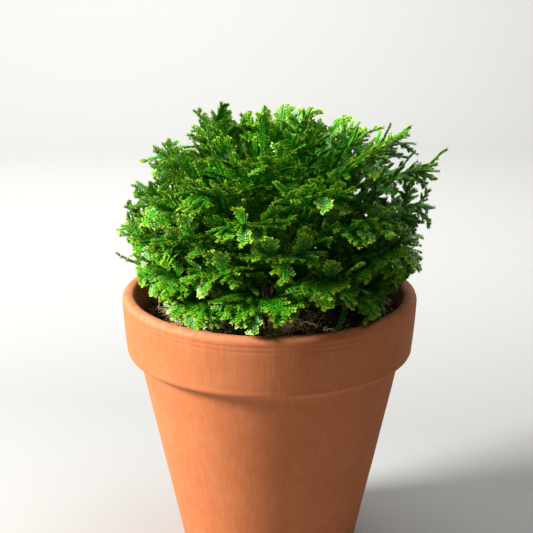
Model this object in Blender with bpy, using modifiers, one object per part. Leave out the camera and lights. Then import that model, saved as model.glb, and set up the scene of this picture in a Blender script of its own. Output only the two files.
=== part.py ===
"""Spikemoss in a terracotta pot, at its real size in metres, +Z up.

The origin is the middle of the pot's underside. The camera of the photograph stands at -Y.

The pieces are the turned pot with its drain hole, the potting soil that fills it, and one leafy frond for
each stem of the plant. Every frond is a thin arched blade whose outline is cut to the rib into forked
branchlets; its stem stands in a plain hole in the soil.
"""

import math
import random

import bmesh
import bpy
from mathutils import Vector

# Pot: radii and heights of the turned profile
POT_HEIGHT = 0.138
RIM_RADIUS = 0.0725
LIP_INNER_RADIUS = 0.0656
BAND_BOTTOM_RADIUS = 0.0706
BAND_HEIGHT = 0.031
NECK_RADIUS = 0.0650
BASE_RADIUS = 0.0425
WALL_THICKNESS = 0.0058
FLOOR_THICKNESS = 0.0075
DRAIN_RADIUS = 0.0062
EDGE_ROUND = 0.0030
LIP_DEPTH = 0.0090
NECK_FILLET = 0.0006
FOOT_ROUND = 0.0015
FOOT_FLARE = 0.0016
DRAIN_BREAK = 0.0006
INNER_CORNER = 0.0040
TURNED_STEPS = 44
MERGE_DISTANCE = 0.00005

# Colours of the three materials, linear
TERRACOTTA = (0.62, 0.27, 0.15)
PEAT = (0.045, 0.030, 0.020)
LEAF_GREEN = (0.09, 0.27, 0.03)

# Soil: how far below the rim it lies, and its uneven top
SOIL_DEPTH_AT_WALL = 0.0145
SOIL_MOUND = 0.0060
SOIL_RELIEF = 0.0007
SOIL_RINGS = (0.0, 0.22, 0.42, 0.62, 0.82, 1.0)
SEAT_GAP = 0.0003

# Plant: a fountain of fronds set out on a golden-angle spiral, from the upright ones outwards
FROND_COUNT = 50
GOLDEN_ANGLE = math.radians(137.508)
FIRST_AZIMUTH = math.radians(250.0)
LOWEST_TIP_ANGLE = math.radians(82.0)
ROOMY_TIP_ANGLE = math.radians(34.0)
CROWN_HEIGHT = POT_HEIGHT - 0.005
ROOT_RING_INNER = 0.003
ROOT_RING_OUTER = 0.031
STEM_LEAN = 0.55
STEM_BURIED = 0.0070
HOLE_RADIUS = 0.0014
HOLE_SIDES = 6
HOLE_BELOW_STEM = 0.0005
HOLE_ABOVE_SOIL = 0.0040
MOST_TILT = 3.2
LEAST_CUP = 0.4
MOST_CUP = 2.4
STEM_STIFFNESS = 0.42
TIP_STIFFNESS = 0.36
RIB_STEPS = 16
DRAW_SEED = 11

# Frond: a flat plan that is later laid on its own layer of the plant
BLADE_THICKNESS = 0.0008
STEM_HALF_WIDTH = 0.0009
LEAFY_SHARE = 0.66
LEAFY_SHORTEST = 0.036
LEAFY_LONGEST = 0.060
LOBE_HALF_WIDTH = 0.0034
FROND_HALF_WIDTH = 0.0205
STEM_POINT_SPACING = 0.010
LOBED_SHARE = 0.80
LOBE_FILL = 0.46
LOBE_STAGGER = 0.35
LOWEST_LOBE_ANGLE = 62.0
LOBE_ANGLE_LOSS = 24.0

# Branchlets: length of each pair against the widest, and a branchlet's forked end as shares of its length
# and offsets in half widths
LOBE_SWELL = (0.72, 1.0, 1.0, 0.84, 0.60)
LOBE_PLAN = ((0.58, -1.0), (0.97, -0.75), (0.86, -0.05), (1.0, 0.70))

LOBE_PAIRS = len(LOBE_SWELL)

# The frond's own forked end: side, distance from the rib and distance back from the tip
TIP_PLAN = ((1, 0.003, 0.004), (1, 0.002, 0.0), (1, 0.0001, 0.0018), (-1, 0.002, 0.0), (-1, 0.003, 0.004))

# How far the tips reach from the crown, by their angle from straight up, in degrees and metres
REACH = ((0, 0.095), (20, 0.097), (40, 0.098), (52, 0.092), (62, 0.083), (72, 0.077), (82, 0.069))

# How much further over the tip points than its place on the dome, by the same angle, in degrees
DROOP = ((0, 4), (20, 14), (45, 28), (70, 38), (82, 44))

# Where the dome stands out or falls short: azimuth, tip angle, gain in metres, and both spreads, in degrees
BULGES = (
    (-28.0, 46.0, 0.017, 48.0, 11.0),
    (152.0, 74.0, 0.006, 45.0, 13.0),
    (-172.0, 48.0, -0.008, 55.0, 15.0),
    (-140.0, 68.0, -0.010, 40.0, 22.0),
)


def interpolate(table, value):
    """Reads a piecewise linear table of (value, result) pairs."""
    for (low, at_low), (high, at_high) in zip(table, table[1:]):
        if value <= high:
            share = max(0.0, (value - low) / (high - low))
            return at_low + share * (at_high - at_low)
    return table[-1][1]


def clear_scene():
    """Removes whatever the file was opened with."""
    for existing in list(bpy.data.objects):
        bpy.data.objects.remove(existing)


def new_collection(name):
    """A collection of that name in the scene."""
    made = bpy.data.collections.new(name)
    bpy.context.scene.collection.children.link(made)
    return made


def clay_material():
    """Unglazed, dusty terracotta."""
    return plain_material("terracotta", TERRACOTTA, 0.85)


def plain_material(name, colour, roughness):
    """A Principled material of one colour."""
    made = bpy.data.materials.new(name)
    made.use_nodes = True
    shader = made.node_tree.nodes["Principled BSDF"]
    shader.inputs["Base Color"].default_value = (*colour, 1.0)
    shader.inputs["Roughness"].default_value = roughness
    shader.inputs["Metallic"].default_value = 0.0
    made.diffuse_color = (*colour, 1.0)
    return made


def arc(centre, radius, start, end, steps):
    """Points of a circular arc in the (radius, height) plane, angles in degrees."""
    points = []
    for step in range(steps + 1):
        angle = math.radians(start + (end - start) * step / steps)
        points.append((centre[0] + radius * math.cos(angle), centre[1] + radius * math.sin(angle)))
    return points


def pot_inner_radius(height):
    """Radius of the pot's inner wall at a height above its underside."""
    share = (height - FLOOR_THICKNESS) / (POT_HEIGHT - BAND_HEIGHT - FLOOR_THICKNESS)
    at_floor = BASE_RADIUS + FOOT_FLARE - WALL_THICKNESS
    at_neck = NECK_RADIUS - WALL_THICKNESS
    return at_floor + share * (at_neck - at_floor)


def pot_profile():
    """Closed profile of the pot: down its outer side, in under it, up the drain hole and back up inside."""
    top = POT_HEIGHT
    band_foot = top - BAND_HEIGHT
    lip = arc((RIM_RADIUS - EDGE_ROUND, top - EDGE_ROUND), EDGE_ROUND, 80, 0, 3)
    band = [(RIM_RADIUS - NECK_FILLET / 2, top - LIP_DEPTH)]
    foot_centre = (BAND_BOTTOM_RADIUS - EDGE_ROUND, band_foot + EDGE_ROUND + NECK_FILLET)
    foot = arc(foot_centre, EDGE_ROUND, -5, -80, 3)
    neck = [(NECK_RADIUS + NECK_FILLET, band_foot), (NECK_RADIUS - NECK_FILLET, band_foot - 4 * NECK_FILLET)]
    base = arc((BASE_RADIUS - FOOT_ROUND, FOOT_ROUND), FOOT_ROUND, -10, -90, 2)
    drain = [
        (DRAIN_RADIUS + DRAIN_BREAK, 0.0),
        (DRAIN_RADIUS, 2 * DRAIN_BREAK),
        (DRAIN_RADIUS, FLOOR_THICKNESS),
    ]
    inside = [
        (pot_inner_radius(FLOOR_THICKNESS) - INNER_CORNER, FLOOR_THICKNESS),
        (pot_inner_radius(FLOOR_THICKNESS + INNER_CORNER), FLOOR_THICKNESS + INNER_CORNER),
        (pot_inner_radius(top - LIP_DEPTH), top - LIP_DEPTH),
        (LIP_INNER_RADIUS - NECK_FILLET, top - 0.4 * LIP_DEPTH),
        (LIP_INNER_RADIUS + NECK_FILLET, top - 0.1 * LIP_DEPTH),
        (LIP_INNER_RADIUS + EDGE_ROUND * 0.6, top),
    ]
    return lip + band + foot + neck + base + drain + inside


def turned(name, profile, closed, collection):
    """Turns a (radius, height) profile about the Z axis with a Screw modifier."""
    mesh = bpy.data.meshes.new(name)
    vertices = [(radius, 0.0, height) for radius, height in profile]
    edges = [(index, index + 1) for index in range(len(profile) - 1)]
    if closed:
        edges.append((len(profile) - 1, 0))
    mesh.from_pydata(vertices, edges, [])
    made = bpy.data.objects.new(name, mesh)
    collection.objects.link(made)
    screw = made.modifiers.new("turn", "SCREW")
    screw.steps = TURNED_STEPS
    screw.render_steps = TURNED_STEPS
    screw.use_merge_vertices = True
    screw.merge_threshold = MERGE_DISTANCE
    return made


def applied(source, collection):
    """The object with its modifiers worked into a plain mesh."""
    graph = bpy.context.evaluated_depsgraph_get()
    mesh = bpy.data.meshes.new_from_object(source.evaluated_get(graph))
    made = bpy.data.objects.new(source.name, mesh)
    made.matrix_world = source.matrix_world
    name = source.name
    bpy.data.objects.remove(source)
    made.name = name
    mesh.name = name
    collection.objects.link(made)
    return made


def make_pot(collection):
    """The terracotta pot with its banded rim."""
    pot = turned("pot", pot_profile(), True, collection)
    pot.data.materials.append(clay_material())
    return pot


def soil_height(x, y):
    """Height of the soil's top at a point: a low mound with small clods."""
    wall = pot_inner_radius(POT_HEIGHT - SOIL_DEPTH_AT_WALL)
    distance = min(1.0, math.hypot(x, y) / wall)
    clods = math.sin(310 * x + 1.0) * math.cos(270 * y) + 0.6 * math.sin(520 * y - 410 * x)
    relief = SOIL_RELIEF * clods * (1 - distance**6)
    return POT_HEIGHT - SOIL_DEPTH_AT_WALL + SOIL_MOUND * (1 - distance**2) + relief


def make_soil(collection):
    """The potting soil: one solid that fills the pot, with an uneven top."""
    wall_height = POT_HEIGHT - SOIL_DEPTH_AT_WALL
    edge = pot_inner_radius(wall_height) - SEAT_GAP
    floor = FLOOR_THICKNESS + SEAT_GAP
    corner = INNER_CORNER + SEAT_GAP
    top_rings = [(edge * share, wall_height) for share in SOIL_RINGS]
    below = [
        (pot_inner_radius(floor + corner) - SEAT_GAP, floor + corner),
        (pot_inner_radius(floor) - SEAT_GAP - corner, floor),
        (0.0, floor),
    ]
    soil = applied(turned("soil", top_rings + below, False, collection), collection)
    for vertex in soil.data.vertices:
        inside = math.hypot(vertex.co.x, vertex.co.y) < edge - SEAT_GAP
        if inside and vertex.co.z > wall_height - SEAT_GAP:
            vertex.co.z = soil_height(vertex.co.x, vertex.co.y)
    soil.data.materials.append(plain_material("potting_soil", PEAT, 0.95))
    return soil


def reach(tip_angle, azimuth):
    """Distance of a frond's tip from the crown, with the dome's bulges."""
    degrees = math.degrees(tip_angle)
    distance = interpolate(REACH, degrees)
    for bulge_azimuth, bulge_angle, gain, azimuth_spread, angle_spread in BULGES:
        aside = (math.degrees(azimuth) - bulge_azimuth + 180) % 360 - 180
        off = (degrees - bulge_angle) / angle_spread
        distance += gain * math.exp(-((aside / azimuth_spread) ** 2) - off**2)
    return distance


def arched_rib(tip_angle, azimuth):
    """(radius, height) points of a rib from the soil to its tip, and the stem's direction at the soil.

    Ribs of one azimuth never cross: each wider tip angle lies outside the last one along its whole length.
    """
    root_radius = ROOT_RING_INNER + (ROOT_RING_OUTER - ROOT_RING_INNER) * tip_angle / LOWEST_TIP_ANGLE
    root_x = root_radius * math.cos(azimuth)
    root_y = root_radius * math.sin(azimuth)
    start = Vector((root_radius, soil_height(root_x, root_y)))
    tip = reach(tip_angle, azimuth)
    end = Vector((tip * math.sin(tip_angle), CROWN_HEIGHT + tip * math.cos(tip_angle)))
    lean = STEM_LEAN * tip_angle
    rise = Vector((math.sin(lean), math.cos(lean)))
    droop = tip_angle + math.radians(interpolate(DROOP, math.degrees(tip_angle)))
    chord = (end - start).length
    first = start + STEM_STIFFNESS * chord * rise
    second = end - TIP_STIFFNESS * chord * Vector((math.sin(droop), math.cos(droop)))
    points = []
    for step in range(RIB_STEPS + 1):
        t = step / RIB_STEPS
        s = 1 - t
        points.append(s**3 * start + 3 * s * s * t * first + 3 * s * t * t * second + t**3 * end)
    return points, rise


def rib_length(points):
    """Length of a rib."""
    return sum((high - low).length for low, high in zip(points, points[1:]))


def along_rib(points, rise, distance):
    """(radius, height) at a distance along a rib from the soil, or down its straight stem where negative."""
    if distance <= 0:
        return points[0] + distance * rise
    for low, high in zip(points, points[1:]):
        step = (high - low).length
        if distance <= step:
            return low.lerp(high, distance / step)
        distance -= step
    return points[-1] + distance * (points[-1] - points[-2]).normalized()


class Frond:
    """One frond of the spiral: where it stands, how far it leans and how its blade tilts."""

    def __init__(self, index):
        draw = random.Random(DRAW_SEED * 1000 + index)
        share = (index + 0.5) / FROND_COUNT
        spiral_angle = math.acos(1 - share * (1 - math.cos(LOWEST_TIP_ANGLE)))
        room = min(1.0, spiral_angle / ROOMY_TIP_ANGLE)
        self.name = f"frond_{index + 1:02d}"
        self.tip_angle = spiral_angle + room * math.radians(draw.uniform(-1.0, 1.0))
        self.azimuth = FIRST_AZIMUTH + index * GOLDEN_ANGLE + math.radians(draw.uniform(-2.0, 2.0))
        self.tilt = room * math.radians(draw.uniform(-MOST_TILT, MOST_TILT))
        self.cup = room * math.radians(draw.uniform(LEAST_CUP, MOST_CUP))
        self.size = draw.uniform(0.92, 1.06)
        self.rib, self.rise = arched_rib(self.tip_angle, self.azimuth)
        self.length = rib_length(self.rib)
        self.leafy = min(LEAFY_LONGEST, max(LEAFY_SHORTEST, LEAFY_SHARE * self.length))

    def root(self):
        """The point where the stem leaves the soil."""
        radius, height = self.rib[0]
        return Vector((radius * math.cos(self.azimuth), radius * math.sin(self.azimuth), height))

    def place(self, across, along):
        """Lays a point of the flat plan on the frond's own layer of the plant."""
        share = max(0.0, along / self.length)
        aside = across / FROND_HALF_WIDTH
        tip_angle = self.tip_angle + share * (self.tilt * aside + self.cup * aside * aside)
        radius = along_rib(self.rib, self.rise, along)[0]
        azimuth = self.azimuth + across / radius
        points, rise = arched_rib(tip_angle, azimuth)
        distance = along if along < 0 else share * rib_length(points)
        radius, height = along_rib(points, rise, distance)
        return Vector((radius * math.cos(azimuth), radius * math.sin(azimuth), height))


def lobe_points(base, angle, length, half_width, side):
    """Outline of one forked branchlet from its lower axil on, in (across, along); side is 1 or -1."""
    outward = Vector((math.sin(angle), math.cos(angle)))
    upward = Vector((-math.cos(angle), math.sin(angle)))
    start = Vector((STEM_HALF_WIDTH, base + half_width))
    points = [Vector((STEM_HALF_WIDTH, base))]
    for share, offset in LOBE_PLAN:
        points.append(start + length * share * outward + half_width * offset * upward)
    return [(side * x, y) for x, y in points]


def frond_outline(frond):
    """Closed outline of a frond in (across, along): its stem, its side branchlets and its forked end."""
    leafy_from = frond.length - frond.leafy
    spacing = frond.leafy * LOBED_SHARE / LOBE_PAIRS
    right = []
    left = []
    stem_points = max(1, round((leafy_from + STEM_BURIED) / STEM_POINT_SPACING))
    for step in range(stem_points):
        along = -STEM_BURIED + (leafy_from + STEM_BURIED) * step / stem_points
        right.append((STEM_HALF_WIDTH, along))
        left.append((-STEM_HALF_WIDTH, along))
    for pair, swell in enumerate(LOBE_SWELL):
        angle = math.radians(LOWEST_LOBE_ANGLE - LOBE_ANGLE_LOSS * pair / (LOBE_PAIRS - 1))
        length = FROND_HALF_WIDTH * frond.size * swell / math.sin(angle)
        base = leafy_from + pair * spacing
        half_width = min(LOBE_HALF_WIDTH, LOBE_FILL * spacing * math.sin(angle))
        right += lobe_points(base, angle, length, half_width, 1)
        left += lobe_points(base + LOBE_STAGGER * spacing, angle, length, half_width, -1)
    last_axil = leafy_from + LOBE_PAIRS * spacing
    right.append((STEM_HALF_WIDTH, last_axil))
    left.append((-STEM_HALF_WIDTH, last_axil + LOBE_STAGGER / 2 * spacing))
    tip = [(side * x, frond.length - back) for side, x, back in TIP_PLAN]
    return right + tip + left[::-1]


def flat_plan(name, outline):
    """A flat mesh filled inside an outline, in short triangles that can be bent."""
    curve = bpy.data.curves.new(name, "CURVE")
    curve.dimensions = "2D"
    curve.fill_mode = "BOTH"
    spline = curve.splines.new("POLY")
    spline.points.add(len(outline) - 1)
    for point, (x, y) in zip(spline.points, outline):
        point.co = (x, y, 0.0, 1.0)
    spline.use_cyclic_u = True
    drawn = bpy.data.objects.new(name, curve)
    bpy.context.scene.collection.objects.link(drawn)
    graph = bpy.context.evaluated_depsgraph_get()
    mesh = bpy.data.meshes.new_from_object(drawn.evaluated_get(graph))
    bpy.data.objects.remove(drawn)
    shape = bmesh.new()
    shape.from_mesh(mesh)
    bmesh.ops.remove_doubles(shape, verts=shape.verts, dist=1e-6)
    bmesh.ops.dissolve_faces(shape, faces=shape.faces)
    bmesh.ops.triangulate(shape, faces=shape.faces, ngon_method="BEAUTY")
    shape.to_mesh(mesh)
    shape.free()
    return mesh


def make_frond(frond, material, plant, collection):
    """One frond: its flat plan laid on its layer of the plant, with the blade's thickness."""
    mesh = flat_plan(frond.name, frond_outline(frond))
    root = frond.root()
    for vertex in mesh.vertices:
        vertex.co = frond.place(vertex.co.x, vertex.co.y) - root
    mesh.materials.clear()
    mesh.materials.append(material)
    made = bpy.data.objects.new(frond.name, mesh)
    collection.objects.link(made)
    made.parent = plant
    made.location = root
    solid = made.modifiers.new("thickness", "SOLIDIFY")
    solid.thickness = BLADE_THICKNESS
    solid.offset = 0.0
    return made


def drill_stem_holes(soil, fronds, cutters):
    """Cuts one plain round hole in the soil for each stem."""
    above = HOLE_ABOVE_SOIL
    depth = STEM_BURIED + HOLE_BELOW_STEM
    mesh = bpy.data.meshes.new("stem_hole")
    shape = bmesh.new()
    bmesh.ops.create_cone(
        shape,
        cap_ends=True,
        segments=HOLE_SIDES,
        radius1=HOLE_RADIUS,
        radius2=HOLE_RADIUS,
        depth=above + depth,
    )
    bmesh.ops.translate(shape, verts=shape.verts, vec=(0.0, 0.0, (above - depth) / 2))
    shape.to_mesh(mesh)
    shape.free()
    for frond in fronds:
        cutter = bpy.data.objects.new(f"hole_{frond.name}", mesh)
        cutters.objects.link(cutter)
        cutter.location = frond.root()
        cutter.rotation_euler = (0.0, STEM_LEAN * frond.tip_angle, frond.azimuth)
        cutter.hide_render = True
        cutter.display_type = "WIRE"
    cut = soil.modifiers.new("stem_holes", "BOOLEAN")
    cut.operation = "DIFFERENCE"
    cut.operand_type = "COLLECTION"
    cut.collection = cutters


def main():
    """Builds the potted plant."""
    clear_scene()
    parts = new_collection("potted_spikemoss")
    cutters = new_collection("cutters")
    cutters.hide_render = True
    assembly = bpy.data.objects.new("potted_spikemoss", None)
    parts.objects.link(assembly)
    plant = bpy.data.objects.new("plant", None)
    parts.objects.link(plant)
    plant.parent = assembly
    pot = make_pot(parts)
    pot.parent = assembly
    soil = make_soil(parts)
    soil.parent = assembly
    fronds = [Frond(index) for index in range(FROND_COUNT)]
    leaf = plain_material("spikemoss_green", LEAF_GREEN, 0.5)
    for frond in fronds:
        make_frond(frond, leaf, plant, parts)
    drill_stem_holes(soil, fronds, cutters)


main()
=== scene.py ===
"""Looks of a potted spikemoss: leafy fronds in dark soil, in a turned terracotta pot with a banded rim.

Lengths are in metres, +Z is up, and the origin is the middle of the pot's underside. Each fine frond follows
the same layer rule as the CAD frond that it stands for, so it keeps that frond's place and form.
"""

import logging
import math
import random
from dataclasses import dataclass, field
from enum import Enum
from itertools import combinations, product

import bpy
import numpy as np
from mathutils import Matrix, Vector

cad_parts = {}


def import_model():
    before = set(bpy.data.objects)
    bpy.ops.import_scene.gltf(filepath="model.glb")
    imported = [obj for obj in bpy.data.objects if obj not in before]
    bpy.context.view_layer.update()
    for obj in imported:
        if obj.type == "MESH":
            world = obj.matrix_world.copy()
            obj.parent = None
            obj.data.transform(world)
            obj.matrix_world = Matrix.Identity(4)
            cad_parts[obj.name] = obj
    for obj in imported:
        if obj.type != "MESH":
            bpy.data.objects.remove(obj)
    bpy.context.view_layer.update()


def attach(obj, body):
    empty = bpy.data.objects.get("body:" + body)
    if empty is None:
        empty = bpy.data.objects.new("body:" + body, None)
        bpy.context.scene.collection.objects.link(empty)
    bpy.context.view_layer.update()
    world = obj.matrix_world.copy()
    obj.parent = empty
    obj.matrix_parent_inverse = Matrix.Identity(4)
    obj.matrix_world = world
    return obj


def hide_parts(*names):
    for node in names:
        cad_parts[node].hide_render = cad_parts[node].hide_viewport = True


LOG = logging.getLogger("potted_spikemoss")
ROOT_BODY = "root"

Array = np.ndarray
Colour = tuple[float, float, float]
Range = tuple[float, float]
TINY = 1e-9


class Slot(Enum):
    """The record's material slots."""

    CLAY = "terracotta"
    SOIL = "potting_soil"
    LEAF = "spikemoss_green"


class LeafRow(Enum):
    """The rows of scale leaves on a branchlet."""

    SIDE = "side"
    TOP = "top"
    UNDER = "under"


class MixKind(Enum):
    """What a Mix node mixes, with the places of its factor and two inputs, and of its result."""

    VALUE = ("FLOAT", (0, 2, 3), 0)
    COLOUR = ("RGBA", (0, 6, 7), 2)


# Shader helpers


class NodeSheet:
    """A node tree with short calls to add nodes and wire them."""

    def __init__(self, tree: bpy.types.NodeTree) -> None:
        """Keeps the tree that the calls work on."""
        self.tree = tree

    def add(self, kind: str, settings: dict | None = None, **values: object) -> bpy.types.Node:
        """Adds a node.

        Args:
            kind: the node's type, such as ShaderNodeTexNoise.
            settings: the node's own properties.
            **values: sockets by name, with underscores for spaces; a socket is linked, anything else is set.

        Returns:
            The new node.
        """
        node = self.tree.nodes.new(kind)
        for name, value in (settings or {}).items():
            setattr(node, name, value)
        for name, value in values.items():
            self.feed(node, name.replace("_", " "), value)
        return node

    def feed(self, node: bpy.types.Node, name: str | int, value: object) -> None:
        """Sets a socket of a node, or links it where the value is an output socket.

        Args:
            node: the node.
            name: the input's name or place.
            value: what it gets.
        """
        if isinstance(value, bpy.types.NodeSocket):
            self.tree.links.new(value, node.inputs[name])
        else:
            node.inputs[name].default_value = value

    def maths(self, operation: str, first: object, second: object) -> bpy.types.NodeSocket:
        """A Math node's result.

        Args:
            operation: what it does, such as MULTIPLY.
            first: its first number.
            second: its second number.

        Returns:
            The socket with the result.
        """
        node = self.add("ShaderNodeMath", {"operation": operation})
        self.feed(node, 0, first)
        self.feed(node, 1, second)
        return node.outputs[0]

    def stretch(self, value: object, low: float, high: float, to: Range = (0.0, 1.0)) -> bpy.types.NodeSocket:
        """A value mapped smoothly from one range to another.

        Args:
            value: the value.
            low: where its own range starts.
            high: where its own range ends.
            to: the range that it is mapped to.

        Returns:
            The socket with the mapped value.
        """
        node = self.add("ShaderNodeMapRange", {"interpolation_type": "SMOOTHSTEP"})
        self.feed(node, "Value", value)
        for name, number in zip(("From Min", "From Max", "To Min", "To Max"), (low, high, *to)):
            self.feed(node, name, number)
        return node.outputs["Result"]

    def mix(
        self, share: object, first: object, second: object, kind: MixKind = MixKind.COLOUR
    ) -> bpy.types.NodeSocket:
        """Two colours or two values, mixed.

        Args:
            share: the second one's share.
            first: the first one.
            second: the second one.
            kind: what they are.

        Returns:
            The socket with the mixture.
        """
        data_type, places, result = kind.value
        node = self.add("ShaderNodeMix", {"data_type": data_type})
        for place, value in zip(places, (share, first, second)):
            self.feed(node, place, value)
        return node.outputs[result]

    def noise(self, place: object, scale: object, **values: float) -> bpy.types.NodeSocket:
        """A noise texture's value."""
        return self.add("ShaderNodeTexNoise", Vector=place, Scale=scale, **values).outputs["Fac"]

    def attribute(self, name: str) -> bpy.types.NodeSocket:
        """A value that the mesh carries at its points."""
        return self.add("ShaderNodeAttribute", {"attribute_name": name}).outputs["Fac"]


def rgba(colour: Colour) -> tuple[float, float, float, float]:
    """A colour with full alpha."""
    return (*colour, 1.0)


def new_group(name: str, sockets_in: dict[str, object], sockets_out: dict[str, str]) -> bpy.types.NodeTree:
    """An empty shader node group.

    Args:
        name: the group's name.
        sockets_in: input names with their default values; a tuple makes a colour, a number a float.
        sockets_out: output names with their socket types.

    Returns:
        The group, which still lacks its nodes.
    """
    group = bpy.data.node_groups.new(name, "ShaderNodeTree")
    for socket_name, value in sockets_in.items():
        kind = "NodeSocketColor" if isinstance(value, tuple) else "NodeSocketFloat"
        made = group.interface.new_socket(name=socket_name, in_out="INPUT", socket_type=kind)
        made.default_value = value
    for socket_name, kind in sockets_out.items():
        group.interface.new_socket(name=socket_name, in_out="OUTPUT", socket_type=kind)
    return group


def mottle_group() -> bpy.types.NodeTree:
    """Colour that drifts between two colours in soft patches, with finer flecks inside them.

    Returns:
        The group.
    """
    inputs = {"Colour A": (0.5, 0.5, 0.5, 1.0), "Colour B": (0.4, 0.4, 0.4, 1.0), "Scale": 60.0, "Fleck": 0.3}
    group = new_group("Mottle", inputs, {"Colour": "NodeSocketColor"})
    fleck_fineness, soft_edges, sharp_edges = 9.0, (0.34, 0.66), (0.38, 0.62)
    sheet = NodeSheet(group)
    given = sheet.add("NodeGroupInput").outputs
    result = sheet.add("NodeGroupOutput")
    place = sheet.add("ShaderNodeTexCoord").outputs["Object"]
    patches = sheet.noise(place, given["Scale"], Detail=3.0)
    finer = sheet.maths("MULTIPLY", given["Scale"], fleck_fineness)
    flecks = sheet.noise(place, finer, Detail=2.0, Roughness=0.6)
    soft = sheet.stretch(patches, *soft_edges)
    sharp = sheet.stretch(flecks, *sharp_edges)
    mask = sheet.mix(given["Fleck"], soft, sharp, MixKind.VALUE)
    sheet.feed(result, "Colour", sheet.mix(mask, given["Colour A"], given["Colour B"]))
    return group


def grain_group() -> bpy.types.NodeTree:
    """Height of a gritty surface: coarse unevenness, fine grit and scattered pits.

    Returns:
        The group.
    """
    inputs = {"Scale": 900.0, "Pits": 0.5}
    group = new_group("Grain", inputs, {"Height": "NodeSocketFloat", "Pit": "NodeSocketFloat"})
    coarseness, pit_coarseness, grit_height = 0.16, 0.55, 0.45
    pit_edges, pitted_places = (0.05, 0.22), (0.50, 0.66)
    sheet = NodeSheet(group)
    given = sheet.add("NodeGroupInput").outputs
    result = sheet.add("NodeGroupOutput")
    place = sheet.add("ShaderNodeTexCoord").outputs["Object"]
    grit = sheet.noise(place, given["Scale"], Detail=4.0, Roughness=0.7)
    coarse = sheet.noise(place, sheet.maths("MULTIPLY", given["Scale"], coarseness), Detail=2.0)
    pit_scale = sheet.maths("MULTIPLY", given["Scale"], pit_coarseness)
    cells = sheet.add("ShaderNodeTexVoronoi", Vector=place, Scale=pit_scale)
    hollow = sheet.stretch(cells.outputs["Distance"], *pit_edges, (1.0, 0.0))
    pit = sheet.maths("MULTIPLY", hollow, sheet.stretch(coarse, *pitted_places))
    rough = sheet.maths("ADD", sheet.maths("MULTIPLY", grit, grit_height), coarse)
    sunk = sheet.maths("MULTIPLY", pit, given["Pits"])
    sheet.feed(result, "Height", sheet.maths("SUBTRACT", rough, sunk))
    sheet.feed(result, "Pit", pit)
    return group


@dataclass(frozen=True)
class Patches:
    """A colour that drifts between two colours: the patches' scale, and the share of the finer flecks."""

    first: Colour
    second: Colour
    scale: float
    fleck: float


@dataclass(frozen=True)
class Grit:
    """A gritty relief: its scale, how deep its pits are, and the strength and height of its bump."""

    scale: float
    pits: float
    strength: float
    height: float

    def emboss(self, sheet: NodeSheet, shader: bpy.types.Node, heights: bpy.types.NodeSocket) -> None:
        """Gives a shader the relief's bump.

        Args:
            sheet: the material's nodes.
            shader: its Principled shader.
            heights: the relief's heights.
        """
        bump = sheet.add("ShaderNodeBump", Height=heights, Strength=self.strength, Distance=self.height)
        sheet.feed(shader, "Normal", bump.outputs["Normal"])


class Effects:
    """The shader effects that the materials share, each built once."""

    def __init__(self) -> None:
        """Builds the groups."""
        self.mottle = mottle_group()
        self.grain = grain_group()

    def use(self, sheet: NodeSheet, group: bpy.types.NodeTree, **values: object) -> bpy.types.Node:
        """Places one of the groups in a material.

        Args:
            sheet: the material's nodes.
            group: one of the groups held here.
            **values: the group's inputs, with underscores for spaces.

        Returns:
            The group's node.
        """
        node = sheet.add("ShaderNodeGroup")
        node.node_tree = group
        for name, value in values.items():
            sheet.feed(node, name.replace("_", " "), value)
        return node

    def drift(self, sheet: NodeSheet, patches: Patches) -> bpy.types.NodeSocket:
        """Places the mottle in a material.

        Args:
            sheet: the material's nodes.
            patches: its colours and patches.

        Returns:
            The socket with its colour.
        """
        first, second = rgba(patches.first), rgba(patches.second)
        values = {"Colour_A": first, "Colour_B": second, "Scale": patches.scale, "Fleck": patches.fleck}
        return self.use(sheet, self.mottle, **values).outputs["Colour"]

    def grain_of(self, sheet: NodeSheet, grit: Grit) -> bpy.types.Node:
        """Places the grain of a gritty relief in a material."""
        return self.use(sheet, self.grain, Scale=grit.scale, Pits=grit.pits)


def blank_material(name: str) -> tuple[bpy.types.Material, NodeSheet, bpy.types.Node]:
    """A new material.

    Args:
        name: its name.

    Returns:
        The material, its node sheet and its Principled shader.
    """
    material = bpy.data.materials.new(name)
    material.use_nodes = True
    return material, NodeSheet(material.node_tree), material.node_tree.nodes["Principled BSDF"]


# Finishes


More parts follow.
